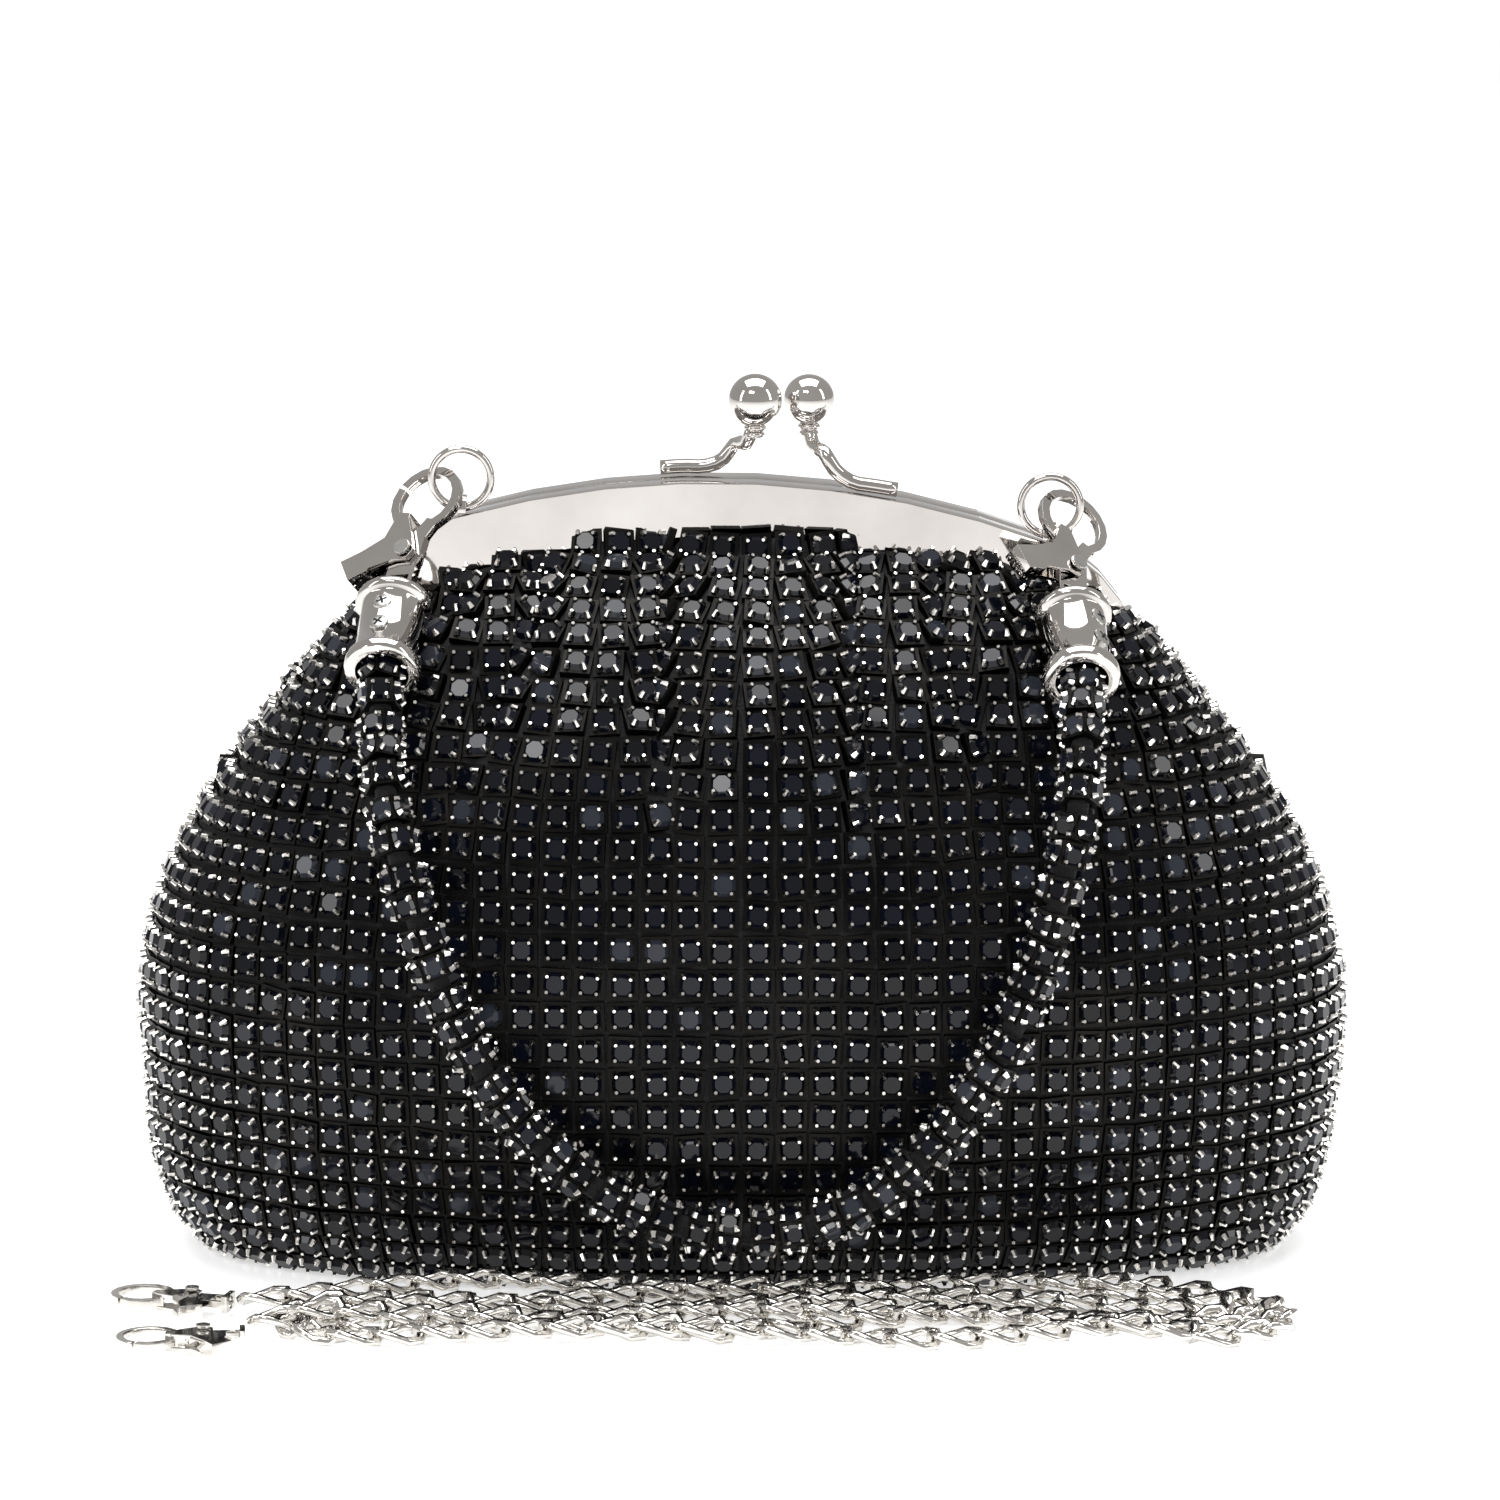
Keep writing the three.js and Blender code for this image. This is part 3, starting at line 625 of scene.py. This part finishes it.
def pleatOut(x, z):
    # how far the pleats push the cloth out at x, in metres
    wide = halfSizes(z)[0]
    spread = 1 + (max(1.0, wide / (64 * mm)) - 1) * smoothStep(10 * mm, 55 * mm, abs(x))
    across = x / mm / spread
    out = -1.2
    for left, right, rise in pleats:
        if left < across < right:
            out = -1.2 + rise * math.sin(math.pi * (across - left) / (right - left)) ** 0.55
    fade = smoothStep(pouch["foldsFrom"], pouch["foldsFull"], z)
    slack = 0.9 * math.sin(x * 46 + z * 30) * math.sin(z * 75 + 1.3) * smoothStep(5 * mm, 30 * mm, z)
    return (out * fade + slack) * mm


def cloth(angle, z, inset):
    # a point on the bag: angle 0 at the right side, -90 degrees at the middle of the front
    halfWidth, halfDepth = halfSizes(z)
    power = 2 / pouch["squareness"]
    cosine, sine = math.cos(angle), math.sin(angle)
    ux = math.copysign(abs(cosine) ** power, cosine)
    uy = math.copysign(abs(sine) ** power, sine)
    flip = 1 if uy <= 0 else -1
    push = pleatOut(ux * halfWidth * flip, z) - inset
    lean = abs(uy)
    return Vector((ux * (halfWidth + push * (1 - 0.6 * lean)), uy * (halfDepth + push), z))


def clothFrame(angle, z):
    at = cloth(angle, z, pouch["wall"])
    across = cloth(angle + 0.004, z, pouch["wall"]) - cloth(angle - 0.004, z, pouch["wall"])
    up = cloth(angle, min(z + 0.6 * mm, 0.1249), pouch["wall"]) - cloth(angle, z - 0.6 * mm, pouch["wall"])
    return at, across, across.cross(up)


def rowHeights():
    # heights one crystal apart along the middle of the front
    heights = []
    travelled = 0.0
    nextRow = crystal["pitch"] * 1.15
    z = 0.0
    last = Vector((halfSizes(0)[1], 0))
    while z < 0.1245:
        z += 0.25 * mm
        now = Vector((halfSizes(z)[1], z))
        travelled += (now - last).length
        last = now
        if travelled >= nextRow:
            heights.append(z)
            nextRow += crystal["pitch"]
    return heights


def clothPlaces(front):
    middle = -math.pi / 2 if front else math.pi / 2
    places = []
    for z in rowHeights():
        for way in (-1, 1):
            last = cloth(middle, z, 0)
            travelled = 0.0
            nextPlace = crystal["pitch"] / 2
            steps = 900
            for k in range(1, steps + 1):
                angle = middle + way * math.pi / 2 * k / steps
                now = cloth(angle, z, 0)
                travelled += (now - last).length
                last = now
                if travelled < nextPlace:
                    continue
                nextPlace += crystal["pitch"]
                if hidden(now, 8.4) or (abs(now.y) < 4 * mm and now.z > 100 * mm):
                    continue
                places.append(crystalPlace(angle, z))
    return places


def crystalPlace(angle, z):
    at, across, out = clothFrame(angle, z)
    loose = 2.5 + 5 * smoothStep(70 * mm, 100 * mm, z)
    wobble = (Matrix.Rotation(math.radians(rng.gauss(0, loose)), 4, "X")
              @ Matrix.Rotation(math.radians(rng.gauss(0, loose)), 4, "Y")
              @ Matrix.Rotation(math.radians(rng.gauss(0, 3)), 4, "Z"))
    shift = Matrix.Translation((0, 0, rng.uniform(-0.2, 0.15) * mm))
    return place(at, across, out) @ shift @ wobble


def basePlaces():
    places = []
    pitch = crystal["pitch"]
    for i in range(-17, 18):
        for j in range(-7, 8):
            x, y = i * pitch, j * pitch
            if (abs(x) / (88 * mm)) ** 2.3 + (abs(y) / (32 * mm)) ** 2.3 < 1:
                places.append(place(Vector((x, y, 3.05 * mm)), Vector((-1, 0, 0)), Vector((0, 0, -1))))
    return places


def clothTop(angle):
    # the height at which the cloth meets the frame
    z = 90 * mm
    while z < 0.1244 and not hidden(cloth(angle, z, 0), 12.0):
        z += 0.3 * mm
    return z


def makeNet(name, front):
    # two layers of one sheet, joined round the edge
    bm = bmesh.new()
    start = -math.pi if front else 0.0
    tops = {}
    for inset in (2.2 * mm, 2.7 * mm):
        sheet = bmesh.ops.create_grid(bm, x_segments=120, y_segments=52, size=0.5)["verts"]
        for v in sheet:
            angle = start + math.pi * (v.co.x + 0.5)
            column = round(v.co.x * 1000)
            if column not in tops:
                tops[column] = clothTop(angle)
            v.co = cloth(angle, 0.4 * mm + (v.co.y + 0.5) * (tops[column] - 0.4 * mm), inset)
    rim = [e for e in bm.edges if e.is_boundary]
    bmesh.ops.bridge_loops(bm, edges=rim)
    bmesh.ops.recalc_face_normals(bm, faces=bm.faces[:])
    return newObject(name, bm, [finish["net"]], 180)


def makeMesh():
    stone = crystalMesh(crystal, "crystal")
    for name, front, body, node in (("front", True, "front_frame", "front_gather"),
                                    ("back", False, "back_frame", "back_gather")):
        places = clothPlaces(front)
        obj = strewn(f"crystals_{name}", stone, places, crystalFinish, [toneAndGlintOf() for _ in places])
        net = makeNet(f"net_{name}", front)
        print(name, "crystals", len(places))
        for piece in (obj, net):
            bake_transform(piece)
        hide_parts(node)
        if front:
            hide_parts("pouch_mesh")
    places = basePlaces()
    base = strewn("crystals_base", stone, places, crystalFinish, [toneAndGlintOf() for _ in places])
    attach(base, "pouch")
    bm = bmesh.new()
    bmesh.ops.create_cone(bm, cap_ends=True, segments=96, radius1=1, radius2=1, depth=0.4 * mm)
    for v in bm.verts:
        v.co = cloth(math.atan2(v.co.y, v.co.x), 0.5 * mm, 2.6 * mm) + Vector((0, 0, 2.4 * mm + v.co.z))
    under = newObject("net_base", bm, [finish["net"]])
    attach(under, "pouch")


makeMesh()
print("crystal mesh done")


# handle rope
rope = {
    "radius": 4.0 * mm, "around": 5, "along": 5.3 * mm, "scale": 0.84, "inside": 5.0, "ferrule": 17.5,
    # the hanging stretch, in millimetres, left to right
    "route": [
        (-58.6, -40.5, 95.6), (-57.6, -48, 87.5), (-55.2, -53.5, 77), (-51.8, -56.2, 66), (-47, -57.3, 53),
        (-38.9, -57.8, 38), (-28.3, -58, 26.6), (-14.7, -58, 18.4), (0.4, -58, 15.4), (16.5, -58, 18.6),
        (29.8, -58, 28.4), (41, -57.8, 43.5), (48.3, -57.3, 60.5), (52.4, -56, 75.5), (54.8, -51.5, 88.5),
    ],
}


def ropeLine(r):
    def end(side, down):
        return ferruleMatrix(ferrules[side]) @ Vector((0, 0, -down * mm))
    downs = (r["inside"] + 4, r["ferrule"])
    points = [end("left", d) for d in downs] + [Vector(p) * mm for p in r["route"]]
    points += [end("right", d) for d in reversed(downs)]
    return smoothLine(points, 1.2 * mm)


def makeRope(r):
    line = ropeLine(r)
    bm = bmesh.new()
    tube(bm, line, r["radius"] - 2.2 * mm, 12)
    core = newObject("rope_net", bm, [finish["net"]], 60)
    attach(core, "handle")
    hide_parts("handle_core")
    places = []
    travelled = 0.0
    nextRing = 2 * mm
    side = None
    ring = 0
    base = r["radius"] - crystal["height"] * r["scale"]
    for a, b in zip(line, line[1:]):
        ahead = (b - a).normalized()
        side = ahead.orthogonal() if side is None else (side - ahead * side.dot(ahead)).normalized()
        travelled += (b - a).length
        if travelled < nextRing:
            continue
        nextRing += r["along"]
        ring += 1
        for k in range(r["around"]):
            turn = 2 * math.pi * (k + 0.34 * ring) / r["around"]
            out = Matrix.Rotation(turn, 3, ahead) @ side
            wobble = Matrix.Rotation(math.radians(rng.gauss(0, 5)), 4, "X")
            places.append(place(b + out * base, out.cross(ahead), out, r["scale"]) @ wobble)
    stone = crystalMesh(crystal, "ropeCrystal", 1.35)
    obj = strewn("crystals_rope", stone, places, crystalFinish, [toneAndGlintOf() for _ in places])
    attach(obj, "handle")
    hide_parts("handle_rope")
    print("rope crystals", len(places), "rope length", round(travelled, 4))


makeRope(rope)
print("rope done")


# inside
lining = {"gap": 3.5 * mm, "thick": 0.6 * mm, "wrinkle": 0.35 * mm, "around": 120, "rows": 26}
slipPocket = {"thick": 0.5 * mm, "belly": 0.4 * mm, "hem": 0.55 * mm, "corner": 8 * mm}


def makeLining(c):
    low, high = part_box("lining")
    bm = bmesh.new()
    for inset in (c["gap"], c["gap"] + c["thick"]):
        sheet = bmesh.ops.create_grid(bm, x_segments=c["around"], y_segments=c["rows"], size=0.5)["verts"]
        for v in sheet:
            angle = 2 * math.pi * (v.co.x + 0.5)
            z = low.z + (v.co.y + 0.5) * (high.z - low.z)
            crease = c["wrinkle"] * (1 + math.sin(angle * 14 + z * 90) * math.sin(angle * 5 - z * 140))
            v.co = cloth(angle, z, inset + crease)
    bmesh.ops.remove_doubles(bm, verts=bm.verts[:], dist=1e-5)
    floorLoops = [e for e in bm.edges if e.is_boundary and e.verts[0].co.z < 0.02]
    bmesh.ops.holes_fill(bm, edges=floorLoops, sides=0)
    bmesh.ops.bridge_loops(bm, edges=[e for e in bm.edges if e.is_boundary])
    bmesh.ops.recalc_face_normals(bm, faces=bm.faces[:])
    obj = newObject("satin_lining", bm, [finish["satin"]], 40)
    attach(obj, "pouch")
    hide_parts("lining")


def makePocket(c):
    low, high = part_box("slip_pocket")
    centre = (low + high) / 2
    size = high - low
    bm = bmesh.new()
    bmesh.ops.create_grid(bm, x_segments=28, y_segments=16, size=0.5)
    for v in bm.verts:
        u, w = v.co.x * 2, v.co.y * 2
        # the two lower corners are cut round
        pull = max(0.0, -w - 0.6) / 0.4
        across = u * (1 - (1 - math.sqrt(max(0.0, 1 - pull**2))) * c["corner"] / (size.x / 2))
        belly = c["belly"] * (1 - u**2) * (0.6 + 0.4 * w)
        v.co = Vector((centre.x + across * size.x / 2, centre.y - belly, centre.z + w * (size.z / 2 - c["hem"])))
    bmesh.ops.recalc_face_normals(bm, faces=bm.faces[:])
    bmesh.ops.solidify(bm, geom=bm.faces[:], thickness=c["thick"])
    top = [Vector((centre.x + u * size.x / 20, centre.y - c["belly"] * (1 - (u / 10) ** 2), high.z - c["hem"]))
           for u in range(-10, 11)]
    tube(bm, top, c["hem"], 10)
    bmesh.ops.recalc_face_normals(bm, faces=bm.faces[:])
    obj = newObject("satin_pocket", bm, [finish["satin"]], 40)
    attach(obj, "pouch")
    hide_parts("slip_pocket")


makeLining(lining)
makePocket(slipPocket)
for node, material in (("base_board", "board"), ("front_mesh_cord", "cotton"), ("back_mesh_cord", "cotton")):
    frame["nodes"][node].data.materials.clear()
    frame["nodes"][node].data.materials.append(finish[material])
print("inside done")


# floor and light
def makeFloor():
    bm = bmesh.new()
    bmesh.ops.create_grid(bm, x_segments=1, y_segments=1, size=9, matrix=Matrix.Translation((0, 3, 0)))
    material = newMaterial("studioFloor", (0.86, 0.865, 0.87), 0.28)
    shader = material.node_tree.nodes["Principled BSDF"]
    shader.inputs["Emission Color"].default_value = (1, 1, 1, 1)
    shader.inputs["Emission Strength"].default_value = 0.58
    floor = newObject("floor", bm, [material])


def areaLight(name, at, aim, size, power, color=(1, 1, 1)):
    data = bpy.data.lights.new(name, "AREA")
    data.shape = "RECTANGLE"
    data.size, data.size_y = size
    data.energy = power
    data.color = color
    obj = bpy.data.objects.new(name, data)
    bpy.context.scene.collection.objects.link(obj)
    obj.location = at
    obj.rotation_euler = (Vector(aim) - Vector(at)).to_track_quat("-Z", "Y").to_euler()


makeFloor()
areaLight("overhead", (0, 0.1, 1.3), (0, 0, 0), (1.3, 0.9), 18)
areaLight("frontHigh", (-0.35, -1.0, 1.1), (0, 0, 0.06), (0.5, 0.22), 3.5)
areaLight("leftStrip", (-1.0, -0.45, 0.55), (0, 0, 0.07), (0.16, 0.8), 2.0)
areaLight("rightStrip", (1.0, -0.35, 0.6), (0, 0, 0.07), (0.16, 0.8), 2.0)
world = bpy.data.worlds.new("studio")
world.use_nodes = True
world.node_tree.nodes["Background"].inputs["Color"].default_value = (1, 0.985, 0.97, 1)
world.node_tree.nodes["Background"].inputs["Strength"].default_value = 0.48
bpy.context.scene.world = world
bpy.context.scene.view_settings.view_transform = "Standard"
print("light done")
